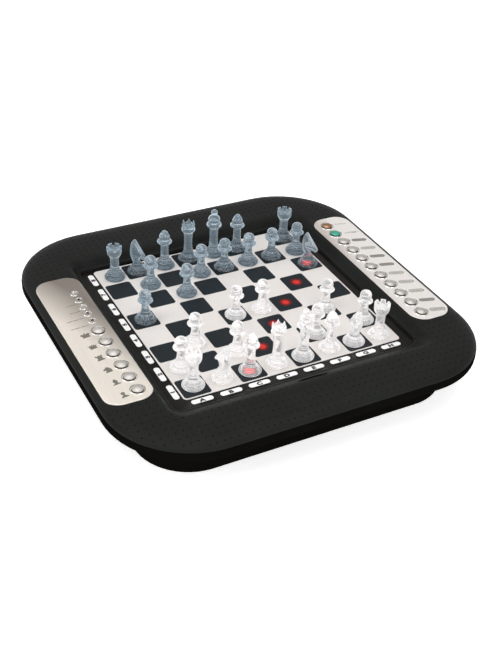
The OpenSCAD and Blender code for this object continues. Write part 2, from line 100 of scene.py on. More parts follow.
class Shader:
    """Small wrapper that builds one material's node tree."""

    def __init__(self, name):
        self.material = bpy.data.materials.new(name)
        self.material.use_nodes = True
        self.tree = self.material.node_tree
        self.bsdf = self.tree.nodes["Principled BSDF"]
        self.output = self.tree.nodes["Material Output"]

    def node(self, kind, **settings):
        made = self.tree.nodes.new(kind)
        for key, value in settings.items():
            if hasattr(made, key):
                setattr(made, key, value)
            else:
                made.inputs[key.replace("_", " ")].default_value = value
        return made

    def link(self, source, socket, target, into):
        self.tree.links.new(source.outputs[socket], target.inputs[into])

    def set(self, **values):
        for key, value in values.items():
            self.bsdf.inputs[key.replace("_", " ")].default_value = value

    def coords(self, scale=(1, 1, 1)):
        source = self.node("ShaderNodeTexCoord")
        mapping = self.node("ShaderNodeMapping", Scale=scale)
        self.link(source, "Object", mapping, "Vector")
        return mapping

    def noise(self, mapping, scale, detail=3.0, rough=0.5):
        made = self.node("ShaderNodeTexNoise", Scale=scale, Detail=detail, Roughness=rough)
        self.link(mapping, "Vector", made, "Vector")
        return made

    def ramp(self, source, stops, socket="Fac"):
        made = self.node("ShaderNodeValToRGB")
        elements = made.color_ramp.elements
        while len(elements) < len(stops):
            elements.new(0.5)
        for element, (place, colour) in zip(elements, stops):
            element.position = place
            element.color = (*colour, 1)
        self.link(source, socket, made, "Fac")
        return made

    def mapped(self, source, socket, **limits):
        """Map Range node over a source; limits are its From and To values."""
        made = self.node("ShaderNodeMapRange", **limits)
        self.link(source, socket, made, "Value")
        return made

    def clouded(self, cloud, share, base, socket):
        """A base value plus a share of the cloud."""
        made = self.node("ShaderNodeMath", operation="MULTIPLY_ADD")
        self.link(cloud, "Fac", made, 0)
        made.inputs[1].default_value = share
        self.link(base, socket, made, 2)
        return made

    def paint(self, source, low, high, edge=0.35):
        """Base colour that goes from low to high with the source."""
        tone = self.ramp(source, [(edge, low), (1 - edge, high)])
        self.link(tone, "Color", self.bsdf, "Base Color")
        return tone

    def gloss(self, source, low, high):
        """Roughness that goes from low to high with the source."""
        spread = self.mapped(source, "Fac", To_Min=low, To_Max=high)
        self.link(spread, "Result", self.bsdf, "Roughness")

    def bump(self, source, distance, strength):
        made = self.node("ShaderNodeBump", Distance=distance, Strength=strength)
        self.link(source, "Fac", made, "Height")
        self.link(made, "Normal", self.bsdf, "Normal")


def grey(value):
    return (value, value, value)


def scaled(colour, factor):
    return tuple(min(1, c * factor) for c in colour)


def case_plastic(name, colour, rough, shine):
    """Matt moulding with a fine spark-eroded grain and faint cloudy tone."""
    s = Shader(name)
    place = s.coords()
    s.paint(s.noise(place, 18, 4), scaled(colour, 0.86), scaled(colour, 1.12), 0.3)
    grain = s.noise(place, 2600, 2, 0.6)
    s.gloss(grain, rough - 0.05, rough + 0.07)
    s.bump(grain, 0.00004, 0.35)
    s.set(Specular_IOR_Level=shine)
    return s.material


def glossy_floor(name):
    """Dark brown-black glossy plate with faint ripples under the gloss."""
    s = Shader(name)
    place = s.coords()
    s.paint(s.noise(place, 30, 3), (0.007, 0.006, 0.005), (0.011, 0.009, 0.008), 0.3)
    fine = s.noise(place, 400, 2)
    s.gloss(fine, 0.2, 0.3)
    s.bump(fine, FINE_RELIEF, 0.15)
    s.set(Specular_IOR_Level=0.3)
    return s.material


# Height of the finest surface relief, in metres
FINE_RELIEF = 0.00001


def speckled(name, low, high, grain, rough, relief, **settings):
    """Material whose colour, gloss and relief all follow one fine noise.

    grain is the noise's scale, detail and roughness; rough the two ends of the gloss.
    """
    s = Shader(name)
    speckle = s.noise(s.coords(), *grain)
    s.paint(speckle, low, high)
    s.gloss(speckle, *rough)
    s.bump(speckle, FINE_RELIEF, relief)
    s.set(**settings)
    return s.material


def printed(name, colour, rough=0.38, speck=0.03, shine=0.5):
    """Satin printed sheet with a very fine speckle."""
    low, high = scaled(colour, 1 - speck), scaled(colour, 1 + speck)
    ends = (rough - 0.04, rough + 0.05)
    return speckled(name, low, high, (1500, 2, 0.7), ends, 0.2, Specular_IOR_Level=shine)


def plated(name, colour, rough):
    """Plated plastic: bright, slightly uneven gloss."""
    ends = (rough - 0.05, rough + 0.08)
    return speckled(name, scaled(colour, 0.93), colour, (700, 4, 0.6), ends, 0.15, Metallic=1.0)


def pearl(name, colour, metallic=0.85, rough=0.36):
    """Pearl-painted key cap: metallic flake under a clear coat."""
    low, high = scaled(colour, 0.84), scaled(colour, 1.1)
    ends = (rough - 0.06, rough + 0.08)
    return speckled(
        name, low, high, (5200, 1, 0.4), ends, 0.2, Metallic=metallic, Coat_Weight=0.15, Coat_Roughness=0.2
    )


def board_green(name):
    """Solder mask with faint weave of the glass cloth below."""
    return speckled(name, (0.01, 0.10, 0.04), (0.02, 0.16, 0.07), (1200, 2), (0.3, 0.45), 0.3)


def brushed(name, far, near, light_run):
    """Fine brushed sheet: long thin scratches over a tone that runs from far to near, a painted gradient of
    light and shade across the sheet.

    light_run is (x weight, y weight, start, end) of that painted run across the sheet, in metres.
    """
    weight_x, weight_y, start, end = light_run
    s = Shader(name)
    scratch = s.noise(s.coords((1, 0.02, 1)), 900, 3, 0.65)
    place = s.coords()
    dot = s.node("ShaderNodeVectorMath", operation="DOT_PRODUCT")
    s.link(place, "Vector", dot, 0)
    dot.inputs[1].default_value = (weight_x, weight_y, 0)
    run = s.mapped(dot, "Value", From_Min=start, From_Max=end)
    patchy = s.clouded(s.noise(place, 14, 3), 0.3, run, "Result")
    tone = s.ramp(patchy, [(0.15, far), (1.1, near)], "Value")
    fine = s.ramp(scratch, [(0.3, grey(0.94)), (0.7, grey(1.0))])
    mix = s.node("ShaderNodeMix", data_type="RGBA", blend_type="MULTIPLY")
    mix.inputs["Factor"].default_value = 1
    s.link(tone, "Color", mix, 6)
    s.link(fine, "Color", mix, 7)
    s.link(mix, 2, s.bsdf, "Base Color")
    s.gloss(scratch, 0.28, 0.46)
    s.bump(scratch, FINE_RELIEF, 0.3)
    s.set(Metallic=0.45)
    return s.material


def acrylic(name, core, edge, rough, clear, rim_clear, painted_glow=0.0, foot_painted_glow=0.0, ior=1.27):
    """Clear moulded plastic: see-through face on, cloudier towards the outline and paler there, the paleness
    a painted highlight.

    painted_glow is emission that stands in for light scattered inside the stem, a painted glow;
    foot_painted_glow the same in the foot.
    """
    s = Shader(name)
    place = s.coords()
    frost = s.noise(place, 900, 3, 0.6)
    s.gloss(frost, rough - 0.03, rough + 0.04)
    s.bump(frost, FINE_RELIEF, 0.03)
    facing = s.node("ShaderNodeLayerWeight", Blend=0.4)
    outward = s.clouded(s.noise(place, 160, 2), 0.12, facing, "Facing")
    middle = tuple((c + e) / 2 for c, e in zip(core, edge))
    # Base colour turns from core to edge with facing: painted highlight towards the outline.
    tone = s.ramp(outward, [(0.15, core), (0.5, middle), (0.8, edge)], "Value")
    s.link(tone, "Color", s.bsdf, "Base Color")
    through = s.mapped(outward, "Value", From_Min=0.2, From_Max=0.9, To_Min=clear, To_Max=rim_clear)
    s.link(through, "Result", s.bsdf, "Transmission Weight")
    # Emission in the plastic's own tone, rising up the man: a painted glow, no lamp.
    if painted_glow:
        split = s.node("ShaderNodeSeparateXYZ")
        s.link(place, "Vector", split, "Vector")
        rise = s.mapped(split, "Z", From_Min=4 * MM, From_Max=9 * MM, To_Min=foot_painted_glow, To_Max=painted_glow)
        s.link(tone, "Color", s.bsdf, "Emission Color")
        s.link(rise, "Result", s.bsdf, "Emission Strength")
    s.set(IOR=ior, Specular_IOR_Level=0.5)
    s.set(Coat_Weight=0.6, Coat_Roughness=0.06, Coat_IOR=1.5)
    return s.material


def frosted(name, colour):
    """Clear plastic with a matt face that spreads the light passing through it."""
    s = Shader(name)
    patch = s.noise(s.coords(), 300, 2)
    s.paint(patch, colour, scaled(colour, 1.06), 0.3)
    s.gloss(patch, 0.6, 0.75)
    s.set(Transmission_Weight=1.0, IOR=1.27, Specular_IOR_Level=0.2)
    return s.material


def lamp_glow(name, strength, core):
    """Print over a lit lamp: red in the middle, fading softly into the printed colour; the emission is the
    lamp, and the red in the base colour is painted lamp light.
    """
    s = Shader(name)
    place = s.coords()
    length = s.node("ShaderNodeVectorMath", operation="LENGTH")
    s.link(place, "Vector", length, 0)
    fall = s.mapped(
        length, "Value", interpolation_type="SMOOTHERSTEP",
        From_Min=0.1 * GLOW_R, From_Max=GLOW_R, To_Min=1, To_Max=0,
    )
    # Base colour ramp: painted lamp light, red over the lamp's middle.
    stops = [(0, DARK_PRINT), (0.45, (0.11, 0.007, 0.007)), (1, (0.40, 0.018, 0.015))]
    s.link(s.ramp(fall, stops, "Result"), "Color", s.bsdf, "Base Color")
    light = [(0, (0, 0, 0)), (0.45, (core[0] * 0.2, core[1] * 0.1, core[2] * 0.1)), (1, core)]
    s.link(s.ramp(fall, light, "Result"), "Color", s.bsdf, "Emission Color")
    s.set(Emission_Strength=strength, Specular_IOR_Level=0.22)
    s.gloss(s.noise(place, 1500, 2, 0.7), 0.34, 0.43)
    return s.material


def studio_floor(name):
    s = Shader(name)
    tone = s.paint(s.noise(s.coords(), 2, 2), grey(0.86), grey(0.9), 0.3)
    s.link(tone, "Color", s.bsdf, "Emission Color")
    s.set(Roughness=0.9, Specular_IOR_Level=0.1, Emission_Strength=0.75)
    return s.material


# ---- mesh helpers

def new_object(name, data):
    """Object in the scene that holds the data."""
    made = bpy.data.objects.new(name, data)
    bpy.context.scene.collection.objects.link(made)
    return made


def smooth(mesh, sharp=35):
    """Smooth shading, with edges steeper than sharp degrees kept as edges."""
    mesh.polygons.foreach_set("use_smooth", [True] * len(mesh.polygons))
    mesh.set_sharp_from_angle(angle=math.radians(sharp))


def add_object(name, mesh, materials, sharp=35):
    for material in materials:
        mesh.materials.append(material)
    smooth(mesh, sharp)
    return new_object(name, mesh)


def mesh_from(name, points, faces, slots=None):
    """Mesh from points in millimetres."""
    mesh = bpy.data.meshes.new(name)
    mesh.from_pydata([[c * MM for c in p] for p in points], [], faces)
    if slots:
        mesh.polygons.foreach_set("material_index", slots)
    mesh.update()
    return mesh


def tidy_normals(mesh):
    """Merges doubled points and turns all faces outwards."""
    work = bmesh.new()
    work.from_mesh(mesh)
    bmesh.ops.remove_doubles(work, verts=work.verts, dist=1e-7)
    bmesh.ops.recalc_face_normals(work, faces=work.faces)
    work.to_mesh(mesh)
    work.free()
    return mesh


def join_parts(name, parts):
    """One mesh from several (points, faces, slot) parts, in millimetres."""
    points, faces, slots = [], [], []
    for part_points, part_faces, slot in parts:
        base = len(points)
        points.extend(part_points)
        faces.extend([[base + i for i in face] for face in part_faces])
        slots.extend([slot] * len(part_faces))
    return mesh_from(name, points, faces, slots)


def solid_mesh(name, parts):
    """One clean mesh from several parts."""
    return tidy_normals(join_parts(name, parts))


def rounded_loop(x0, x1, y0, y1, r, arc, side=1):
    """Points round a rectangle with round corners, anticlockwise from the right side."""
    corners = [(x1 - r, y1 - r, 0), (x0 + r, y1 - r, 90), (x0 + r, y0 + r, 180), (x1 - r, y0 + r, 270)]
    loop = []
    for k, (cx, cy, start) in enumerate(corners):
        for step in range(arc + 1):
            angle = math.radians(start + 90 * step / arc)
            loop.append((cx + r * math.cos(angle), cy + r * math.sin(angle)))
        nx, ny, turn = corners[(k + 1) % 4]
        first = Vector(loop[-1])
        angle = math.radians(turn)
        last = Vector((nx + r * math.cos(angle), ny + r * math.sin(angle)))
        for step in range(1, side):
            loop.append(tuple(first.lerp(last, step / side)))
    return loop


def loft(rings, closed=False, caps=False):
    """Points and faces of a skin through rings of equal length."""
    count = len(rings[0])
    points = [p for ring in rings for p in ring]
    faces = []
    pairs = len(rings) if closed else len(rings) - 1
    for k in range(pairs):
        a = k * count
        b = (k + 1) % len(rings) * count
        for i in range(count):
            j = (i + 1) % count
            faces.append([a + i, a + j, b + j, b + i])
    if caps:
        faces.append(list(range(count))[::-1])
        base = (len(rings) - 1) * count
        faces.append([base + i for i in range(count)])
    return points, faces


def curve_through(points, steps=4):
    """Smooth line through 2-D points; a third value of 1 keeps that point a corner."""
    line = []
    last = len(points) - 1
    for k in range(last):
        p1, p2 = Vector(points[k][:2]), Vector(points[k + 1][:2])
        corner1 = k == 0 or len(points[k]) > 2
        corner2 = k + 1 == last or len(points[k + 1]) > 2
        p0 = p1 if corner1 else Vector(points[k - 1][:2])
        p3 = p2 if corner2 else Vector(points[k + 2][:2])
        if corner1 and corner2:
            line.append(tuple(p1))
            continue
        for step in range(steps):
            t = step / steps
            m1 = (p2 - p0) * (0.5 if not corner1 else 1.0)
            m2 = (p3 - p1) * (0.5 if not corner2 else 1.0)
            limit = (p2 - p1).length
            for m in (m1, m2):
                if m.length > 1.5 * limit:
                    m *= 1.5 * limit / m.length
            h = (
                (2 * t ** 3 - 3 * t ** 2 + 1) * p1 + (t ** 3 - 2 * t ** 2 + t) * m1
                + (3 * t ** 2 - 2 * t ** 3) * p2 + (t ** 3 - t ** 2) * m2
            )
            line.append(tuple(h))
    line.append(tuple(points[last][:2]))
    return line


def lathe(profile, segments=48, centre=(0, 0, 0)):
    """Points and faces of a turned shape; profile ends on the axis at one or both ends."""
    points, faces, rows = [], [], []
    for r, z in profile:
        if r < 1e-6:
            rows.append([len(points)])
            points.append((centre[0], centre[1], centre[2] + z))
            continue
        rows.append(list(range(len(points), len(points) + segments)))
        for k in range(segments):
            angle = 2 * math.pi * k / segments
            points.append((centre[0] + r * math.cos(angle), centre[1] + r * math.sin(angle), centre[2] + z))
    for low, high in zip(rows, rows[1:]):
        for k in range(segments):
            j = (k + 1) % segments
            if len(low) == 1 and len(high) > 1:
                faces.append([low[0], high[j], high[k]])
            elif len(high) == 1 and len(low) > 1:
                faces.append([low[k], low[j], high[0]])
            elif len(low) > 1:
                faces.append([low[k], low[j], high[j], high[k]])
    return points, faces


def slab(x0, x1, y0, y1, r, z0, z1):
    """Round-cornered plate."""
    loop = rounded_loop(x0, x1, y0, y1, r, 8)
    return loft([[(x, y, z) for x, y in loop] for z in (z0, z1)], caps=True)


def combine(target, other_mesh, operation):
    """Joins another mesh to target, or cuts it out of target, then drops the other object."""
    other = new_object("other", other_mesh)
    modifier = target.modifiers.new("combine", "BOOLEAN")
    modifier.operation = operation
    modifier.solver = "MANIFOLD"
    modifier.object = other
    graph = bpy.context.evaluated_depsgraph_get()
    result = bpy.data.meshes.new_from_object(target.evaluated_get(graph))
    target.modifiers.remove(modifier)
    target.data = result
    bpy.data.objects.remove(other)


def carve(target, name, parts):
    """Takes solid parts out of target."""
    combine(target, solid_mesh(name, parts), "DIFFERENCE")


def settle(piece, body=BODY, replaced=()):
    """Puts a finished piece on its body."""
    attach(piece, body)
    if replaced:
        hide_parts(*replaced)


# ---- case

CORNER_R = 64
# Rim outline: inset from the case's outer edge and depth below the deck, down to the inner skirt
RIM = [
    (17, 0), (10, 0.3), (4.8, 1.3), (2.5, 2.3), (1.1, 3.3), (0.4, 4.4), (0.08, 5.8), (0, 9), (0.5, 11),
    (3.6, 13.4), (9, 17), (19.6, 23.6),
]
# The smooth line may not swing outside the case's own edge
RIM_LINE = [
    (max(inset, 0.0), z) for inset, z in curve_through([(inset, DECK_Z - down) for inset, down in RIM], 3)
]
SKIRT_INSET = CASE_HIGH[0] - box_mm("lower_case")[1][0] - 0.3
# Lip of the well: way out from the floor's edge at the sides, at the front, and depth
LIP = [
    (9.5, 19.0, 0), (8.3, 16.8, 0.12), (7.2, 15.0, 0.5), (6.3, 13.4, 1.15), (5.5, 11.9, 1.95),
    (4.8, 10.3, 2.9), (3.9, 7.6, 4.6), (3.3, 5.6, 5.8), (2.8, 4.5, 6.3), (2.0, 3.9, 6.42), (0.6, 3.2, 6.5),
    (0.15, 2.7, 6.7), (0.0, 2.2, 7.1),
]
WALL = [(out, front, DECK_Z - down) for out, front, down in LIP] + [(0.0, 0.0, BOARD_Z)]
SIDE_WALL = [(out, z) for out, _, z in WALL]
FRONT_WALL = [(front, z) for _, front, z in WALL]
# Inner face of the well wall: way out at the sides, at the front, depth and corner radius
INNER_WALL = [(4.6, 6.2, 6.2, 9), (8.0, 15.0, 3, 12), (11, 20, 2.4, 14)]
# Inner face of the rim: inset and depth
INNER_RIM = [(18, 2.4), (6, 4.4), (2.4, 8.4), (5.4, 11.6), (11, 15), (SKIRT_INSET, 19), (SKIRT_INSET, 23.6)]
DIMPLE_PITCH, DIMPLE_ROW = 5.2, 6.0


def case_ring(inset, z):
    loop = rounded_loop(
        CASE_LOW[0] + inset, CASE_HIGH[0] - inset, CASE_LOW[1] + inset, CASE_HIGH[1] - inset,
        CORNER_R - inset, 16, 10,
    )
    return [(x, y, z) for x, y in loop]


def well_ring(out, front, z, r=None):
    radius = 6 + out * 0.9 if r is None else r
    loop = rounded_loop(-WELL_X - out, WELL_X + out, WELL_FRONT - front, WELL_BACK + out, radius, 16, 10)
    return [(x, y, z) for x, y in loop]


def height_along(line, at):
    """Height on a line of (distance, height) points that runs inwards, or None beyond its ends."""
    for (far, z1), (near, z2) in zip(line, line[1:]):
        if far >= at >= near:
            return z2 + (z1 - z2) * (at - near) / max(far - near, 1e-6)
    return None


def deck_height(x):
    """Height of the deck where it rolls down towards the well at the sides."""
    out = abs(x) - WELL_X
    if out > WALL[0][0]:
        return DECK_Z
    height = height_along(SIDE_WALL, out)
    return BOARD_Z if height is None else height


def dimple_spots():
    """Rows of dimples over the deck, clear of the panels, the well and the dip."""
    spots = []
    for j in range(-24, 25):
        y = j * DIMPLE_ROW - 1.5
        for i in range(-28, 29):
            x = i * DIMPLE_PITCH - 1.1
            if in_round_rect(x, y, CASE_HIGH[0] - 3, CASE_HIGH[1] - 3, CORNER_R - 3) and on_open_deck(x, y):
                spots.append((x, y, deck_top(x, y)))
    return spots


def in_round_rect(x, y, half_x, half_y, r):
    dx = max(abs(x) - (half_x - r), 0)
    dy = max(abs(y) - (half_y - r), 0)
    return dx * dx + dy * dy <= r * r and abs(x) <= half_x and abs(y) <= half_y


def on_open_deck(x, y):
    well = abs(x) < WELL_X + 8 and WELL_FRONT - 4.5 < y < WELL_BACK + 8
    dip = abs(x - BOARD_SHIFT_X) < 17 and abs(y - WELL_FRONT + DIP_OUT) < 4.5
    return not well and not dip and not any(
        low[0] - 1.2 < x < high[0] + 1.2 and low[1] - 1.2 < y < high[1] + 1.2 for low, high in PANEL_BOXES
    )


def deck_top(x, y):
    """Height of the finished deck, with the rim's fall and the ramp at the front."""
    dx = max(abs(x) - (CASE_HIGH[0] - CORNER_R), 0)
    dy = max(abs(y) - (CASE_HIGH[1] - CORNER_R), 0)
    if dx and dy:
        inset = CORNER_R - math.hypot(dx, dy)
    else:
        inset = min(CASE_HIGH[0] - abs(x), CASE_HIGH[1] - abs(y))
    height = height_along(RIM_LINE, inset) if inset < RIM[0][0] else None
    reach = WELL_FRONT - y
    if height is None and abs(x) < WELL_X + 2 and 0 < reach < WALL[0][1]:
        height = height_along(FRONT_WALL, reach)
    return DECK_Z if height is None else height


PANEL_BOXES = [box_mm("left_panel"), box_mm("right_panel")]
PANEL_R = 12.0
def dimple_parts(radius=0.6, depth=0.4):
    """Small round-bottomed plugs that sink the dimples into the deck; their slot 1 gives the dimples a darker
    plastic, painted shade in the hollows.
    """
    profile = [(0, -depth), (radius * 0.62, -depth * 0.72), (radius, 0), (radius * 1.05, 0.4), (0, 0.4)]
    return [(*lathe(profile, 8, spot), 1) for spot in dimple_spots()]


# Hollow in the front ramp: length, width, depth and its distance from the well floor
DIP_LONG, DIP_WIDE, DIP_DEEP, DIP_OUT = 27.0, 7.4, 1.1, 12.0


def dip_mesh():
    """Lens-shaped hollow with a round dot at each end, for the ramp at the front."""
    rings = []
    for scale, z in ((1.04, 1.2), (1.0, 0.0), (0.96, -DIP_DEEP * 0.8), (0.88, -DIP_DEEP)):
        ring = []
        for k in range(48):
            angle = 2 * math.pi * k / 48
            u = math.cos(angle)
            v = math.copysign((1 - u * u) ** 0.9, math.sin(angle))
            ring.append((DIP_LONG / 2 * u * scale, DIP_WIDE / 2 * v * scale, z))
        rings.append(ring)
    # Slot 1 gives the hollow's walls and its end dots the darker dimple plastic: painted shade inside them.
    parts = [(*loft(rings, caps=True), 1)]
    for x in (-DIP_LONG / 2 - 1.2, DIP_LONG / 2 + 1.2):
        dot = lathe([(0, -0.5), (0.55, -0.4), (0.7, 0.0), (0.7, 1.2), (0, 1.2)], 12, (x, 0, 0))
        parts.append((*dot, 1))
    y = WELL_FRONT - DIP_OUT
    rise = deck_top(BOARD_SHIFT_X, y + 1.5) - deck_top(BOARD_SHIFT_X, y - 1.5)
    mesh = solid_mesh("dip", parts)
    tilt = Matrix.Rotation(math.atan2(rise, 3), 4, "X")
    at = Vector((BOARD_SHIFT_X * MM, y * MM, deck_top(BOARD_SHIFT_X, y) * MM))
    mesh.transform(Matrix.Translation(at) @ tilt)
    return mesh


def key_nodes():
    return [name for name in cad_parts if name.startswith("key_")]


def centre_of(node):
    low, high = box_mm(node)
    return (low[0] + high[0]) / 2, (low[1] + high[1]) / 2


LENS_LOW, LENS_HIGH = box_mm("indicator_lenses")
LENS_X = (LENS_LOW[0] + LENS_HIGH[0]) / 2
LENS_R = 2.2
LENS_SPOTS = [
    (LENS_X, LENS_HIGH[1] - 3 - k * (LENS_HIGH[1] - LENS_LOW[1] - 6) / 4) for k in range(5)
]
KEY_R = 4.4


# Play round the panels and keys; heights of the cutters and of the panels' pockets and undersides
GAP, LENS_GAP = 0.25, 0.12
CUT_LOW, CUT_HIGH = 30, 50
POCKET_FLOOR, SHEET_LOW = 39.9, 40.6
KEY_HOLE_R = 4.9
PANEL_TOP = DECK_Z + 0.3


def bore(x, y, r, segments):
    """Upright cutter right through the deck."""
    return (*lathe([(0, CUT_LOW), (r, CUT_LOW), (r, CUT_HIGH), (0, CUT_HIGH)], segments, (x, y, 0)), 0)


def make_upper_case():
    rings = [case_ring(inset, z) for inset, z in RIM_LINE[::-1]]
    rings += [well_ring(out, front, z) for out, front, z in WALL]
    rings.append(well_ring(2.2, 1.6, BOARD_Z, 7))
    rings += [well_ring(out, front, DECK_Z - down, r) for out, front, down, r in INNER_WALL]
    rings += [case_ring(inset, DECK_Z - down) for inset, down in INNER_RIM]
    mesh = tidy_normals(mesh_from("upper_shell", *loft(rings, closed=True)))
    top = case_plastic("case_top_plastic", (0.0138, 0.0148, 0.0134), 0.45, 0.06)
    # Darker copy of the deck plastic for the dimples: painted shade in the hollows.
    dimple_shade = case_plastic("case_dimple_plastic", (0.004, 0.004, 0.004), 0.6, 0.06)
    # Darker copy of the deck plastic for the rim's outer side below the shoulder: painted shade where the
    # flank faces away from the lights.
    flank = case_plastic("case_flank_plastic", (0.0040, 0.0038, 0.0033), 0.6, 0.0)
    shell = add_object("upper_shell", mesh, [top, dimple_shade, flank])
    pockets = []
    for (x0, y0, _), (x1, y1, _) in PANEL_BOXES:
        pocket = slab(x0 - GAP, x1 + GAP, y0 - GAP, y1 + GAP, PANEL_R + GAP, POCKET_FLOOR, CUT_HIGH)
        pockets.append((*pocket, 0))
    carve(shell, "pockets", pockets)
    holes = [bore(*centre_of(node), KEY_HOLE_R, 32) for node in key_nodes()]
    holes += [bore(x, y, LENS_R + GAP, 24) for x, y in LENS_SPOTS]
    carve(shell, "holes", holes)
    carve(shell, "dimples", dimple_parts())
    combine(shell, dip_mesh(), "DIFFERENCE")
    for face in shell.data.polygons:
        x, y, z = (value / MM for value in face.center)
        outside = not in_round_rect(x, y, CASE_HIGH[0] - 26, CASE_HIGH[1] - 26, 38)
        # Low faces on the rim's outside take slot 2, the painted shade of the flank.
        if face.material_index == 0 and outside and z < DECK_Z - 4.1:
            face.material_index = 2
        # Big dimple-slot faces (the dip's floor) go back to the deck plastic; the dip's walls and end dots
        # keep the painted shade.
        if face.material_index == 1 and face.area > 20 * MM * MM:
            face.material_index = 0
    smooth(shell.data, 30)
    settle(shell, replaced=["upper_case"])


def make_lower_case():
    """The tub keeps its CAD shape, with its edges softened; its colour, darker than the deck's, is painted
    shade of the down-facing tub.
    """
    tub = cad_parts["lower_case"]
    repaint(tub, case_plastic("case_base_plastic", (0.0042, 0.0040, 0.0035), 0.6, 0.0))
    soften(tub, 0.8)


def soften(node, width):
    weld = node.modifiers.new("weld", "WELD")
    weld.merge_threshold = 2e-6
    bevel = node.modifiers.new("soften", "BEVEL")
    bevel.width = width * MM
    bevel.segments = 2
    bevel.limit_method = "ANGLE"
    bevel.angle_limit = math.radians(50)


def repaint(node, material):
    if not node.material_slots:
        node.data.materials.append(material)
    for entry in node.material_slots:
        entry.material = material


# ---- panels and keys

def make_panel(node, material):
    """Brushed sheet that follows the deck's roll towards the well, with round holes."""
    low, high = box_mm(node)
    loop = rounded_loop(low[0], high[0], low[1], high[1], PANEL_R, 14, 24)
    rings = [[(x, y, SHEET_LOW) for x, y in loop]]
    for inset, fall in ((0, 0.35), (0.06, 0.16), (0.2, 0.04), (0.45, 0), (1.5, 0), (4, 0), (8, 0), (12, 0)):
        loop = rounded_loop(
            low[0] + inset, high[0] - inset, low[1] + inset, high[1] - inset,
            max(PANEL_R - inset, 0.3), 14, 24,
        )
        rings.append([(x, y, PANEL_TOP - fall + deck_height(x) - DECK_Z) for x, y in loop])
    mesh = tidy_normals(mesh_from(node + "_sheet", *loft(rings, caps=True)))
    sheet = add_object(node + "_sheet", mesh, [material])
    spots = [centre_of(key) for key in key_nodes()]
    holes = [bore(x, y, KEY_R + GAP, 48) for x, y in spots if low[0] < x < high[0]]
    if low[0] < LENS_X < high[0]:
        holes += [bore(x, y, LENS_R + LENS_GAP, 32) for x, y in LENS_SPOTS]
    carve(sheet, "holes", holes)
    smooth(sheet.data, 30)
    return sheet


def bezel_profile(r, wide, high):
    """Raised rim with a round crest and a steep hollow that falls towards the key."""
    return curve_through([
        (r + 0.02, -0.9, 1), (r, -0.75, 1), (r + wide * 0.22, -0.5), (r + wide * 0.42, high * 0.2),
        (r + wide * 0.58, high * 0.85), (r + wide * 0.72, high), (r + wide * 0.9, high * 0.7),
        (r + wide * 1.05, 0.02, 1), (r + wide, -0.5, 1),
    ], 3)


def make_bezels():
    key_line = bezel_profile(KEY_R + GAP, 1.1, 0.5)
    lens_line = bezel_profile(LENS_R + LENS_GAP, 1.0, 0.6)
    rims = [(centre_of(node), key_line, 48) for node in key_nodes()]
    rims += [(spot, lens_line, 36) for spot in LENS_SPOTS]
    parts = [(*lathe(line + [line[0]], segments, (x, y, PANEL_TOP)), 0) for (x, y), line, segments in rims]
    mesh = solid_mesh("key_rings", parts)
    rings = add_object("key_rings", mesh, [plated("ring_plating", (0.86, 0.83, 0.79), 0.18)], 40)
    settle(rings)


KEY_PROFILE = [
    (0, -3.9), (2, -3.9, 1), (2, -3.8, 1), (5.3, -3.8, 1), (5.3, -2.6, 1), (4.3, -2.6, 1), (4.3, 1.25, 1),
    (4.2, 1.42), (3.9, 1.68), (3.25, 2.06), (2.25, 2.43), (1.1, 2.67), (0, 2.74),
]


# The keys' side wall, up to this far above the deck where the dome begins, is painted dark: painted shade of
# the gap round each key
SHADED_WALL_TOP = 1.26


def make_keys():
    wall_shade = printed("key_collar", (0.03, 0.027, 0.024), 0.5, 0.1, 0.2)
    silver = pearl("key_pearl", (0.58, 0.55, 0.51), 0.85, 0.48)
    special = {
        "key_function_1": ("copper_key", pearl("key_copper", (0.42, 0.23, 0.13))),
        "key_function_2": ("green_key", pearl("key_green", (0.06, 0.36, 0.25), 0.3)),
    }
    line = curve_through(KEY_PROFILE, 3)
    for node in key_nodes():
        slot_name, material = special.get(node, ("pearl_key", silver))
        x, y = centre_of(node)
        points, faces = lathe(line, 48, (x, y, DECK_Z))
        # Faces of the low side wall take the dark slot: painted shade of the gap round the key.
        below = [all(points[i][2] < DECK_Z + SHADED_WALL_TOP for i in face) for face in faces]
        mesh = mesh_from(node + "_cap", points, faces, [int(low) for low in below])
        cap = add_object(node + "_cap", mesh, [material, wall_shade], 40)
        settle(cap, node, [node])


def make_lenses():
    # The second colour is the painted highlight towards the dome's outline.
    clear = acrylic("lens_clear", (0.85, 0.82, 0.76), (0.97, 0.96, 0.93), 0.08, 0.75, 0.3, ior=1.4)
    dark = printed("lens_dark", (0.012, 0.008, 0.007), 0.5, 0.1, 0.1)
    line = curve_through([
        (0, -4), (3, -4, 1), (3, -2.6, 1), (LENS_R, -2.6, 1), (LENS_R, 0.4, 1), (LENS_R * 0.8, 0.95),
        (LENS_R * 0.4, 1.3), (0, 1.4),
    ], 3)
    parts = [(*lathe(line, 32, (x, y, DECK_Z)), 0) for x, y in LENS_SPOTS]
    for k in (1, 3, 4):
        x, y = LENS_SPOTS[k]
        dot = lathe([(0, 1.1), (1.2, 0.9), (1.35, 1.02), (0.95, 1.42), (0, 1.6)], 20, (x, y, DECK_Z))
        parts.append((*dot, 1))
    mesh = join_parts("lens_domes", parts)
    lenses = add_object("lens_domes", mesh, [clear, dark], 40)
    settle(lenses, replaced=["indicator_lenses"])


# ---- board

PILL_LONG, PILL_SHORT = 16.4, 4.3
# Middles of the rows of pills along the front and up the left side
PILL_FRONT, PILL_SIDE = BOARD_Y0 - 4.6, BOARD_X0 - 4.2
DARK_SIDE = 20.6
DARK_PRINT = (0.010, 0.0145, 0.0185)
LIT = [(2, 0), (3, 1), (4, 2), (5, 3), (6, 4), (7, 5)]
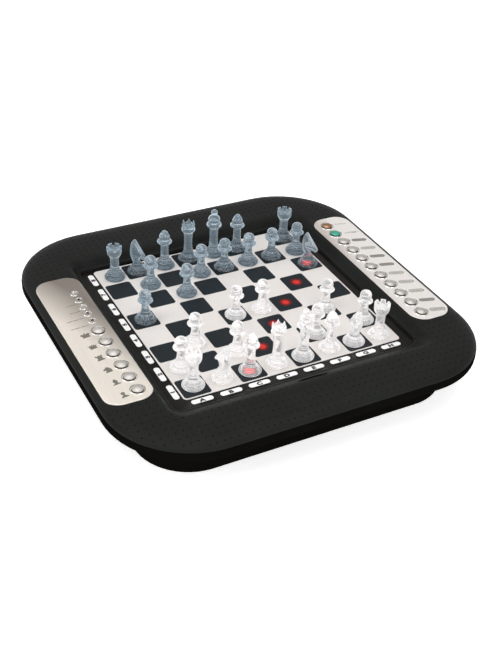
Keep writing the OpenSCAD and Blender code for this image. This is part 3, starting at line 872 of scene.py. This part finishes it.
# Lit squares with a man over the lamp, whose foot spreads the light
UNDER_MAN = {(2, 0): "clear", (7, 5): "smoky"}
GLOW_R = 6.4 * MM
LAMP_RED = (0.44, 0.025, 0.018)
PURE_RED = (0.44, 0.002, 0.002)
LIT_PRINT = {
    "bare": lamp_glow("board_dark_lit", 0.7, LAMP_RED),
    "clear": lamp_glow("board_dark_lit_clear_man", 3.0, PURE_RED),
    "smoky": lamp_glow("board_dark_lit_smoky_man", 5.0, PURE_RED),
}


def square_centre(file, rank):
    return BOARD_X0 + (file + 0.5) * SQUARE, BOARD_Y0 + (rank + 0.5) * SQUARE


def tile(x, y, half_x, half_y, r, high, slot):
    """Thin printed plate centred on a point of the board."""
    return (*slab(x - half_x, x + half_x, y - half_y, y + half_y, r, BOARD_Z, BOARD_Z + high), slot)


def make_board():
    floor_mat = glossy_floor("well_floor_gloss")
    light = printed("board_light", (0.75, 0.71, 0.68))
    dark = printed("board_dark", DARK_PRINT, 0.42, 0.12, 0.22)
    white = printed("label_white", (0.97, 0.97, 0.96))
    black = printed("board_line", (0.004, 0.004, 0.004), 0.4, 0.03, 0.2)
    (x0, y0, z0), (x1, y1, _) = BOARD_LOW, BOARD_HIGH
    parts = [(*slab(x0, x1, y0, y1, 4, z0 + 1.8, BOARD_Z), 0)]
    for grow, high, slot in ((1.1, 0.012, 4), (0.5, 0.020, 1)):
        sheet = slab(
            BOARD_X0 - grow, BOARD_X1 + grow, BOARD_Y0 - grow, BOARD_Y1 + grow,
            2.6 + grow, BOARD_Z, BOARD_Z + high,
        )
        parts.append((*sheet, slot))
    half = DARK_SIDE / 2
    for file in range(8):
        for rank in range(8):
            if (file + rank) % 2 == 0 and (file, rank) not in LIT:
                parts.append(tile(*square_centre(file, rank), half, half, 2.2, 0.05, 2))
    for k in range(8):
        x, y = square_centre(k, k)
        parts.append(tile(x, PILL_FRONT, PILL_LONG / 2, PILL_SHORT / 2, 2.0, 0.04, 3))
        parts.append(tile(PILL_SIDE, y, PILL_SHORT / 2, PILL_LONG / 2, 2.0, 0.04, 3))
    mesh = join_parts("board_sheet", parts)
    board = add_object("board_sheet", mesh, [floor_mat, light, dark, white, black], 30)
    settle(board, replaced=["board_panel"])


def make_lit_squares():
    """The lit squares, each with its red lamp showing through the print."""
    half = DARK_SIDE / 2
    for file, rank in LIT:
        x, y = square_centre(file, rank)
        name = f"lit_square_{'abcdefgh'[file]}{rank + 1}"
        mesh = mesh_from(name, *slab(-half, half, -half, half, 2.2, 0, 0.05))
        square = add_object(name, mesh, [LIT_PRINT[UNDER_MAN.get((file, rank), "bare")]], 30)
        square.location = (x * MM, y * MM, BOARD_Z * MM)
        settle(square)


# ---- print

def character(text, size, x, y, z, turn, stretch, bold):
    """Flat printed character centred on a point, as a mesh in metres."""
    data = bpy.data.curves.new("character", "FONT")
    data.body = text
    data.size = size * MM
    data.align_x = "CENTER"
    data.align_y = "CENTER"
    data.bevel_depth = bold * MM
    data.bevel_resolution = 0
    data.extrude = 0.01 * MM
    holder = new_object("character", data)
    graph = bpy.context.evaluated_depsgraph_get()
    mesh = bpy.data.meshes.new_from_object(holder.evaluated_get(graph))
    bpy.data.objects.remove(holder)
    xs = [v.co.x for v in mesh.vertices]
    ys = [v.co.y for v in mesh.vertices]
    middle = Vector(((min(xs) + max(xs)) / 2, (min(ys) + max(ys)) / 2, 0))
    mesh.transform(
        Matrix.Translation((x * MM, y * MM, z * MM))
        @ Matrix.Rotation(math.radians(turn), 4, "Z")
        @ Matrix.Diagonal((stretch, 1, 0.1, 1))
        @ Matrix.Translation(-middle)
    )
    return mesh


def make_characters():
    """File letters along the front and rank figures up the left side."""
    ink = printed("label_ink", (0.030, 0.006, 0.009))
    z = BOARD_Z + 0.05
    work = bmesh.new()
    for k in range(8):
        x, y = square_centre(k, k)
        letter = character("ABCDEFGH"[k], 4.2, x, PILL_FRONT, z, 0, 1.35, 0.29)
        figure = character(str(k + 1), 4.2, PILL_SIDE, y, z, 90, 1.35, 0.29)
        for mesh in (letter, figure):
            work.from_mesh(mesh)
            bpy.data.meshes.remove(mesh)
    mesh = bpy.data.meshes.new("board_characters")
    work.to_mesh(mesh)
    work.free()
    settle(add_object("board_characters", mesh, [ink], 30))


# Half outlines of the piece symbols, from the foot's middle up to the top's middle
SYMBOLS = {
    "king": [(0, 0), (2.3, 0), (2.3, 0.7), (1.9, 1.2), (2.9, 2.9), (2.0, 3.8), (0.5, 3.0), (0.5, 4.0),
             (0, 4.6)],
    "queen": [(0, 0), (2.1, 0), (2.1, 0.7), (1.8, 1.1), (2.9, 3.6), (1.7, 2.5), (1.2, 4.0), (0.6, 2.6),
              (0, 4.3)],
    "rook": [(0, 0), (2.2, 0), (2.2, 0.8), (1.5, 1.3), (1.5, 3.2), (2.1, 3.6), (2.1, 4.7), (1.2, 4.7),
             (1.2, 4.1),
             (0.5, 4.1), (0.5, 4.7), (0, 4.7)],
    "bishop": [(0, 0), (2.3, 0), (2.3, 0.6), (0.9, 1.1), (1.0, 1.7), (1.4, 2.8), (0.7, 4.2), (0, 4.9)],
    "pawn": [(0, 0), (2.1, 0), (2.1, 0.8), (0.8, 1.6), (0.6, 2.5), (1.2, 3.0), (1.1, 3.9), (0.5, 4.4),
             (0, 4.5)],
}
KNIGHT_SYMBOL = [
    (-2.0, 0), (2.0, 0), (2.2, 2.2), (1.4, 3.9), (0.0, 4.9), (-0.5, 4.2), (-2.4, 2.9), (-2.2, 2.1),
    (-0.9, 2.3),
    (-1.5, 1.0),
]


def flat_shape(outline, x, y, z, turn, scale=1.0):
    """Thin printed shape from a closed outline, centred on a point."""
    c, sn = math.cos(math.radians(turn)), math.sin(math.radians(turn))
    ring = [(x + scale * (u * c - v * sn), y + scale * (u * sn + v * c)) for u, v in outline]
    lower = [(px, py, z) for px, py in ring]
    upper = [(px, py, z + 0.015) for px, py in ring]
    points, faces = loft([lower, upper])
    flat = [Vector((px, py, 0)) for px, py in ring]
    triangles = [list(t) for t in tessellate_polygon([flat])]
    count = len(ring)
    faces += [[count + i for i in t] for t in triangles]
    faces += [t[::-1] for t in triangles]
    return points, faces


def symbol_outline(kind):
    if kind == "knight":
        return [(u, v - 2.3) for u, v in KNIGHT_SYMBOL]
    right = [(u, v - 2.3) for u, v in SYMBOLS[kind]]
    return right + [(-u, v) for u, v in right[::-1] if u > 0]


def word_line(x0, x1, y, z, turn, tall, seed):
    """A line of small blocks in place of words: the wording itself is left out."""
    parts = []
    place = x0
    rhythm = [1.5, 0.9, 1.9, 1.2, 0.7, 1.6]
    k = seed
    slope = math.tan(math.radians(turn))
    while place < x1 - 0.4:
        wide = min(rhythm[k % 6], x1 - place)
        middle = place + wide / 2
        box = [(-wide / 2, -tall / 2), (wide / 2, -tall / 2), (wide / 2, tall / 2), (-wide / 2, tall / 2)]
        parts.append((*flat_shape(box, middle, y + (middle - x0) * slope, z, turn), 0))
        place += wide + (0.28 if k % 3 else 0.7)
        k += 1
    return parts


def pill_outline(long, short):
    return rounded_loop(-long / 2, long / 2, -short / 2, short / 2, short / 2 - 0.01, 8)


def make_panel_print():
    """Symbols, pills and word lines on the two key panels."""
    ink = printed("panel_ink", (0.16, 0.15, 0.125))
    pale = printed("panel_pill", (0.27, 0.25, 0.225))
    bright = printed("panel_pill_middle", (0.50, 0.47, 0.43))
    z = DECK_Z + 0.305
    parts = []
    for k, kind in enumerate(["king", "queen", "rook", "knight", "bishop", "pawn"]):
        x, y = centre_of("key_" + kind)
        parts.append((*flat_shape(symbol_outline(kind), x - 10.6, y - 1.4, z, 8, scale=1.3), 0))
    ends = [(-126.6, -118), (-127.2, -119.2), (-132.9, -119.6), (-133, -119.2)]
    for k, (x0, x1) in enumerate(ends):
        parts += word_line(x0, x1, LENS_SPOTS[k + 1][1] - 4.6, z, 4, 0.75, k * 2)
    tilt = -15.5
    for k in range(2):
        x, y = centre_of(f"key_function_{k + 1}")
        parts += word_line(x + 8.4, x + 17.6 + k, y + 0.6 - 2.2 * k, z, tilt, 0.7, k)
    parts += word_line(129, 136.5, 53.6, z, tilt, 0.7, 3)
    for k in range(3, 12):
        x, y = centre_of(f"key_function_{k}")
        px, py = x + 13.6, y - 1.9
        strong = k in (3, 5, 6, 10)
        parts.append((*flat_shape(pill_outline(12.8, 4.1), px, py, z, tilt), 0 if strong else 1))
        parts.append((*flat_shape(pill_outline(11.6, 2.8), px, py, z + 0.016, tilt), 1 if strong else 2))
        parts += [(p, f, 0) for p, f, _ in word_line(px - 3.4, px + 3.6, py + 0.95, z + 0.032, tilt, 0.6, k)]
    mesh = solid_mesh("panel_print", parts)
    settle(add_object("panel_print", mesh, [ink, pale, bright], 30))


# ---- chess men

FOOT = [
    (0, 2.6), (3.0, 2.4), (5.6, 1.5), (6.5, 0, 1), (7.4, 0, 1), (7.95, 0.2), (8.25, 0.7), (8.3, 1.3),
    (8.05, 1.8), (7.6, 2.05, 1), (6.7, 2.35), (6.1, 2.9), (5.85, 3.5, 1), (6.15, 3.75), (6.25, 4.2),
    (6.1, 4.65),
    (5.75, 4.9, 1), (5.0, 5.3), (4.6, 5.8), (4.4, 6.35, 1),
]


# Turned outlines above the foot: points up from the square, then points down from the man's top
TURNED = {
    "pawn": (
        [(4.0, 7.0), (3.45, 8.6), (3.05, 10.6), (2.9, 12.5)],
        [(2.9, 12.6), (3.1, 11), (3.4, 10.2, 1), (4.8, 9.7), (5.75, 8.9), (5.75, 8.3), (5.0, 7.6),
         (3.8, 7.0, 1),
         (4.25, 5.8), (4.5, 4.4), (4.25, 2.6), (3.5, 1.2), (2.2, 0.35), (1.0, 0.05), (0, 0)],
    ),
    "king": (
        [(4.2, 7.2), (3.8, 9.6), (3.45, 14), (3.35, 19)],
        [(3.5, 19.5), (3.8, 17), (4.1, 15.9, 1), (5.3, 15.0), (6.15, 14.0), (6.15, 13.2), (5.5, 12.2),
         (4.4, 11.3, 1), (4.75, 10), (4.85, 8.6), (4.5, 7), (3.5, 5.8), (2.3, 5.2, 1), (1.8, 4.8, 1),
         (2.4, 3.9), (2.65, 2.7), (2.35, 1.2), (1.3, 0.2), (0, 0)],
    ),
    "bishop": (
        [(4.0, 7.1), (3.5, 9.2), (3.2, 12.5)],
        [(3.15, 15.5), (3.35, 13), (3.75, 11.9, 1), (4.9, 11.3), (5.9, 10.4), (5.9, 9.7), (5.2, 8.9),
         (4.0, 8.2, 1), (4.4, 7.0), (4.35, 5.7), (3.6, 3.8), (2.5, 1.9), (1.3, 0.6), (0.6, 0.08), (0, 0)],
    ),
    "rook": (
        [(4.1, 7.2), (3.75, 9.2), (3.5, 12)],
        [(3.45, 12.5), (3.75, 9.8), (4.5, 8), (5.35, 6.5), (5.8, 5.0), (5.95, 3.2), (6.05, 0, 1), (4.4, 0, 1),
         (4.1, 2.6, 1), (0, 2.9)],
    ),
    "queen": (
        [(4.1, 7.2), (3.7, 9.6), (3.4, 13), (3.3, 17)],
        [(3.5, 12.8), (4.0, 10.2), (4.4, 9.0, 1), (5.15, 8.3), (5.55, 7.2), (5.4, 6.2), (4.9, 5.5),
         (4.95, 4.2),
         (5.3, 3.1, 1), (4.5, 3.1, 1), (3.3, 4.6), (0, 5.2)],
    ),
    "knight": ([(4.1, 7.0), (3.9, 7.8), (3.4, 8.5), (0, 8.7)], []),
}


def turned_mesh(kind, height):
    up, down = TURNED[kind]
    line = FOOT + up + [(r, height - below, *corner) for r, below, *corner in down]
    return tidy_normals(mesh_from(kind, *lathe(curve_through(line, 3), 48)))


def crown_teeth(h):
    """Six curved thorns round the queen's crown."""
    # way out, rise, half width, half depth
    steps = [
        (4.75, -3.8, 2.0, 0.8), (4.75, -2.6, 1.45, 0.68), (4.85, -1.5, 0.85, 0.5),
        (5.0, -0.6, 0.42, 0.34), (5.1, 0, 0.16, 0.16),
    ]
    parts = []
    for k in range(6):
        turn = Matrix.Rotation(math.radians(60 * k), 3, "Z")
        rings = []
        for out, up, wide, deep in steps:
            ring = []
            for j in range(10):
                angle = 2 * math.pi * j / 10
                p = Vector((out - 0.2 + deep * math.cos(angle), wide * math.sin(angle), h + up))
                ring.append(tuple(turn @ p))
            rings.append(ring)
        parts.append((*loft(rings, caps=True), 0))
    return parts


def drawn_in(outline, inset):
    """Closed outline moved inwards along its own normals."""
    count = len(outline)
    moved = []
    for k in range(count):
        before = Vector(outline[k - 1])
        here = Vector(outline[k])
        after = Vector(outline[(k + 1) % count])
        way = (after - before).normalized()
        moved.append(tuple(here + Vector((way.y, -way.x)) * inset))
    return moved


def knight_head(h):
    """Horse's head and neck that look along +X: a side outline with bevelled, tapering flanks."""
    outline = curve_through([
        (-2.3, 7.4, 1), (-2.9, 9.6), (-4.5, 12.8), (-5.5, 16.8), (-5.5, 20.6), (-4.8, h - 3.2),
        (-3.5, h - 0.6),
        (-2.6, h), (-1.7, h - 0.5), (-0.3, h - 2.5, 1), (3.7, h - 8.0, 1), (6.8, h - 12.3), (7.6, h - 13.8),
        (7.0, h - 15.0), (5.6, h - 15.1), (4.2, h - 14.3), (2.6, h - 13.9, 1), (1.7, 12.6), (1.6, 11),
        (1.9, 9.4),
        (2.4, 7.4, 1), (0, 7.1, 1), (-2.3, 7.4),
    ], 3)[:-1]
    layers = [(-1, 0.9), (-0.85, 0.4), (-0.6, 0.1), (-0.25, 0), (0.25, 0), (0.6, 0.1), (0.85, 0.4), (1, 0.9)]
    rings = []
    for side, inset in layers:
        ring = []
        for (x, z), (dx, dz) in zip(outline, drawn_in(outline, inset)):
            towards_muzzle = min(1, max(0, (x + 1) / 8.5))
            towards_ears = min(1, max(0, (z - 17) / 12))
            half = 3.1 - 1.0 * towards_muzzle - 0.9 * towards_ears
            ring.append((dx, side * half, dz))
        rings.append(ring)
    points, faces = loft(rings)
    flank = [Vector((x, z, 0)) for x, _, z in rings[0]]
    triangles = [list(t) for t in tessellate_polygon([flank])]
    last = (len(rings) - 1) * len(outline)
    faces += triangles
    faces += [[last + i for i in t[::-1]] for t in triangles]
    return [(points, faces, 0)]


def box_part(low, high, turn=None, shift=(0, 0, 0)):
    corners = [Vector((x, y, z)) for z in (low[2], high[2]) for x, y in
               ((low[0], low[1]), (high[0], low[1]), (high[0], high[1]), (low[0], high[1]))]
    if turn:
        corners = [turn @ c for c in corners]
    points = [tuple(c + Vector(shift)) for c in corners]
    faces = [[3, 2, 1, 0], [4, 5, 6, 7], [0, 1, 5, 4], [1, 2, 6, 5], [2, 3, 7, 6], [3, 0, 4, 7]]
    return points, faces, 0


def man_mesh(kind, height):
    """Finished mesh of one kind of man, standing on the origin."""
    work = new_object("work", turned_mesh(kind, height))
    if kind == "rook":
        for k in range(3):
            turn = Matrix.Rotation(math.radians(60 * k), 3, "Z")
            carve(work, "cut", [box_part((-8, -1.1, height - 2.3), (8, 1.1, height + 2), turn)])
    if kind == "bishop":
        turn = Matrix.Rotation(math.radians(-38), 3, "Y")
        carve(work, "cut", [box_part((-0.35, -6, 0), (0.35, 6, 9), turn, (1.7, 0, height - 6))])
    more = {"queen": crown_teeth, "knight": knight_head}
    if kind in more:
        for part in more[kind](height):
            combine(work, solid_mesh("more", [part]), "UNION")
    mesh = work.data
    bpy.data.objects.remove(work)
    return mesh


HEADING = {
    "white_knight_b": 102, "white_knight_g": 85, "black_knight_b": 306, "black_knight_g": 308,
    "white_bishop_c": 300, "white_bishop_f": 250, "black_bishop_c": 20, "black_bishop_f": 200,
    "white_rook_h": 20, "black_rook_a": 15, "black_rook_h": 30, "white_queen": 10,
}


# The printed squares are this thick, and the men stand on them
MEN_LIFT = 0.06
# Men that stand over a lit lamp: the hollow under the foot is frosted and catches its light
LAMP_MEN = ("white_bishop_c", "black_knight_g")


def frost_hollow(mesh, frost):
    """Gives the hollow under a man's foot the frosted material."""
    mesh.materials.append(frost)
    for face in mesh.polygons:
        x, y, z = (value / MM for value in face.center)
        if face.normal.z < -0.2 and z < 2.9 and math.hypot(x, y) < 3.6:
            face.material_index = 1


def make_men():
    # white and pale are the edge colours of the men's plastics: painted highlight towards each man's outline.
    white, pale = (1.0, 1.0, 1.0), (0.53, 0.62, 0.68)
    plastics = {
        ("white", False): acrylic("men_clear", (0.97, 0.955, 0.955), white, 0.08, 0.80, 0.27, 0.10, 0.10),
        ("black", False): acrylic("men_smoky", (0.35, 0.43, 0.49), pale, 0.08, 0.88, 0.45, 0.13),
        # The lit copies, for men over a lit lamp, have a paler core colour than the others: painted lamp
        # light; they are also clearer.
        ("white", True): acrylic("men_clear_lit", (0.98, 0.965, 0.965), white, 0.06, 0.92, 0.27, 0.10, 0.07),
        ("black", True): acrylic("men_smoky_lit", (0.42, 0.48, 0.54), pale, 0.05, 0.95, 0.45, 0.13),
    }
    meshes = {}
    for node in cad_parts:
        side, _, rest = node.partition("_")
        if side not in ("white", "black"):
            continue
        kind = rest.split("_")[0]
        low, high = box_mm(node)
        lit = node in LAMP_MEN
        key = (side, kind, lit)
        if key not in meshes:
            mesh = man_mesh(kind, high[2] - low[2] - MEN_LIFT)
            mesh.name = f"{side}_{kind}" + ("_lit" if lit else "")
            meshes[key] = mesh
            mesh.materials.clear()
            mesh.materials.append(plastics[side, lit])
            if lit:
                frost_hollow(mesh, frosted(f"{side}_foot_frost", (0.92, 0.90, 0.90)))
            smooth(mesh, 40)
        man = new_object(node + "_man", meshes[key])
        x, y = centre_of(node)
        man.location = (x * MM, y * MM, (low[2] + MEN_LIFT) * MM)
        man.rotation_euler = (0, 0, math.radians(HEADING.get(node, 0)))
        bpy.context.view_layer.update()
        settle(man, node, [node])


# ---- hidden works

def paint_works():
    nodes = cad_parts
    repaint(nodes["circuit_boards"], board_green("solder_mask"))
    repaint(nodes["batteries"], plated("cell_can", (0.25, 0.45, 0.3), 0.3))
    repaint(nodes["battery_contacts"], plated("contact_nickel", (0.7, 0.68, 0.65), 0.25))
    repaint(nodes["screws"], plated("screw_zinc", (0.55, 0.56, 0.58), 0.3))
    repaint(nodes["battery_door"], case_plastic("door_plastic", (0.005, 0.005, 0.0048), 0.5, 0.15))


# ---- studio

def area_light(name, at, towards, size, watts):
    data = bpy.data.lights.new(name, "AREA")
    data.shape = "RECTANGLE"
    data.size, data.size_y = size
    data.energy = watts
    light = new_object(name, data)
    way = Vector(towards) - Vector(at)
    light.location = at
    light.rotation_euler = way.to_track_quat("-Z", "Y").to_euler()


def studio_world():
    """Surroundings: bright near the horizon, dim above it."""
    world = bpy.data.worlds.new("studio")
    world.use_nodes = True
    tree = world.node_tree
    source = tree.nodes.new("ShaderNodeTexCoord")
    split = tree.nodes.new("ShaderNodeSeparateXYZ")
    ramp = tree.nodes.new("ShaderNodeValToRGB")
    tree.links.new(source.outputs["Generated"], split.inputs[0])
    tree.links.new(split.outputs["Z"], ramp.inputs["Fac"])
    ramp.color_ramp.elements[0].position = 0.12
    ramp.color_ramp.elements[0].color = (1.2, 1.2, 1.2, 1)
    ramp.color_ramp.elements[1].position = 0.58
    ramp.color_ramp.elements[1].color = (0.16, 0.16, 0.165, 1)
    back = tree.nodes["Background"]
    tree.links.new(ramp.outputs["Color"], back.inputs["Color"])
    back.inputs["Strength"].default_value = 1.0
    return world


def make_studio():
    points, faces = slab(-3000, 3000, -3000, 3000, 500, -20, 0)
    mesh = mesh_from("studio_floor", points, faces)
    floor = add_object("studio_floor", mesh, [studio_floor("floor_paint")])
    bpy.context.scene.world = studio_world()
    area_light("top_light", (-0.1, 0.05, 1.25), (0, 0, 0), (1.5, 1.5), 15)
    area_light("left_light", (-1.3, 0.1, 0.55), (0, 0, 0.03), (0.9, 0.35), 5)
    area_light("front_light", (0.1, -1.3, 0.7), (0, 0, 0.03), (1.0, 0.3), 5)
    bpy.context.scene.view_settings.view_transform = "Standard"


make_camera()
make_studio()
make_upper_case()
make_lower_case()
# The left sheet's tone goes from dark at its inner back corner to bright at its outer front corner: painted
# light and shade.
LEFT_METAL = brushed("left_panel_metal", (0.27, 0.235, 0.20), (0.92, 0.85, 0.76), (-1.0, -0.35, 0.096, 0.136))
settle(make_panel("left_panel", LEFT_METAL), replaced=["left_panel"])
# The right sheet's tone is darker towards its inner (left) side: painted shade.
RIGHT_METAL = brushed("right_panel_metal", (0.72, 0.65, 0.60), (1.0, 0.955, 0.915), (1.0, -0.1, 0.102, 0.118))
settle(make_panel("right_panel", RIGHT_METAL), replaced=["right_panel"])
make_bezels()
make_keys()
make_lenses()
make_board()
make_lit_squares()
make_characters()
make_panel_print()
make_men()
paint_works()
